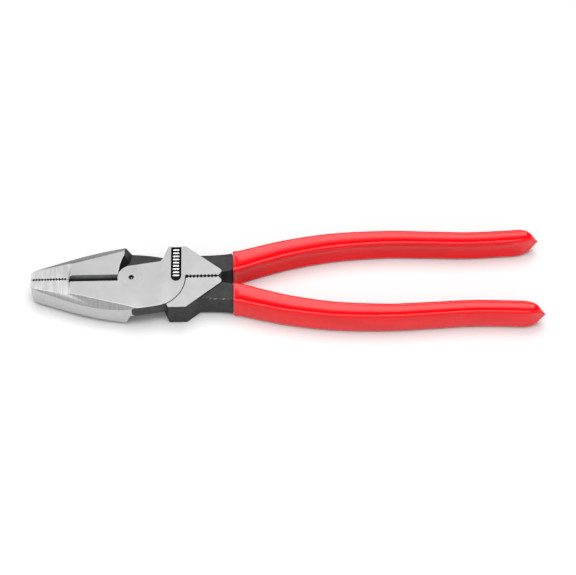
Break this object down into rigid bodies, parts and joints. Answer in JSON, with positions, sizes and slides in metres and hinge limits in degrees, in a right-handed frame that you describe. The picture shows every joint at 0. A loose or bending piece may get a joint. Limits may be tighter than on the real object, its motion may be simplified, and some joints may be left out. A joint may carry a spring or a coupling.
{
  "type": "lineman pliers",
  "caption": "Lineman pliers: toothed blunt jaws, cutting edges, lap joint with a flush rivet, and slim dipped plastic grips that bow outwards. Opens at the pivot.",
  "frame": {"origin": "on the pivot axis, at the underside of the head, which is the flush end of the rivet", "axes": "+X runs along the tool to the handle ends and -X to the jaw tips, +Y lies across the tool in the plane of the handles, +Z is the pivot axis, up from the surface the tool lies on"},
  "size_m": [0.24, 0.0486, 0.0144],
  "materials": {
    "ground_steel": "ground tool steel, black oxide left on the tangs and the sides of the joint",
    "rivet_steel": "flush rivet ground with the head",
    "red_grip": "smooth semi-gloss dipped plastic"
  },
  "bodies": {
    "lower_arm": {"lower_half": "ground_steel", "lower_grip": "red_grip", "pivot_rivet": "rivet_steel"},
    "upper_arm": {"upper_half": "ground_steel", "upper_grip": "red_grip"}
  },
  "joints": [
    {"name": "pivot", "type": "hinge", "parent": "lower_arm", "child": "upper_arm", "pos_m": [0, 0, 0], "axis": [0, 0, 1], "range_deg": [0, 32]}
  ]
}
